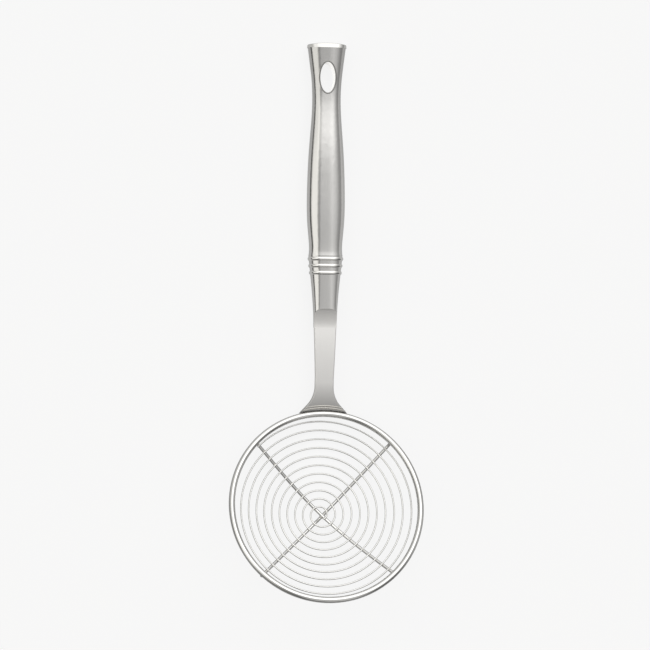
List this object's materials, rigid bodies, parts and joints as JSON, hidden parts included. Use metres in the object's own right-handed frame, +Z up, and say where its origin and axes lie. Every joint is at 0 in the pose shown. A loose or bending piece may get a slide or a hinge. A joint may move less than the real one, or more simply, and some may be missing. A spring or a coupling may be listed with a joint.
{
  "type": "spider skimmer",
  "caption": "Stainless steel spider skimmer: a shallow spiral-wire bowl on a flat flared neck, with a hollow oval grip, bead rings and a hanging hole.",
  "frame": {"origin": "centre of the bounding box in plan, on the table it lies on", "axes": "+Z up from the table, +Y along the handle from the bowl to the hanging hole, +X to the right seen from above with the handle pointing away"},
  "size_m": [0.1264, 0.3578, 0.0498],
  "materials": {
    "polished_wire": "bright drawn wire",
    "satin_strap": "fine satin",
    "brushed_grip": "satin, brushed along the handle",
    "polished_trim": "mirror polished",
    "plain_steel": "as sawn, hidden"
  },
  "bodies": {
    "root": {"rim_hoop": "polished_wire", "spiral_wire": "polished_wire", "cross_wire_left": "polished_wire", "cross_wire_right": "polished_wire", "neck_strap": "satin_strap", "nose_ferrule": "brushed_grip", "tang_block": "plain_steel", "grip_front_shell": "brushed_grip", "grip_back_shell": "brushed_grip", "end_cap": "polished_trim", "hole_liner": "polished_trim", "bead_ring_upper": "polished_trim", "bead_ring_middle": "polished_trim", "bead_ring_lower": "polished_trim"}
  },
  "joints": []
}
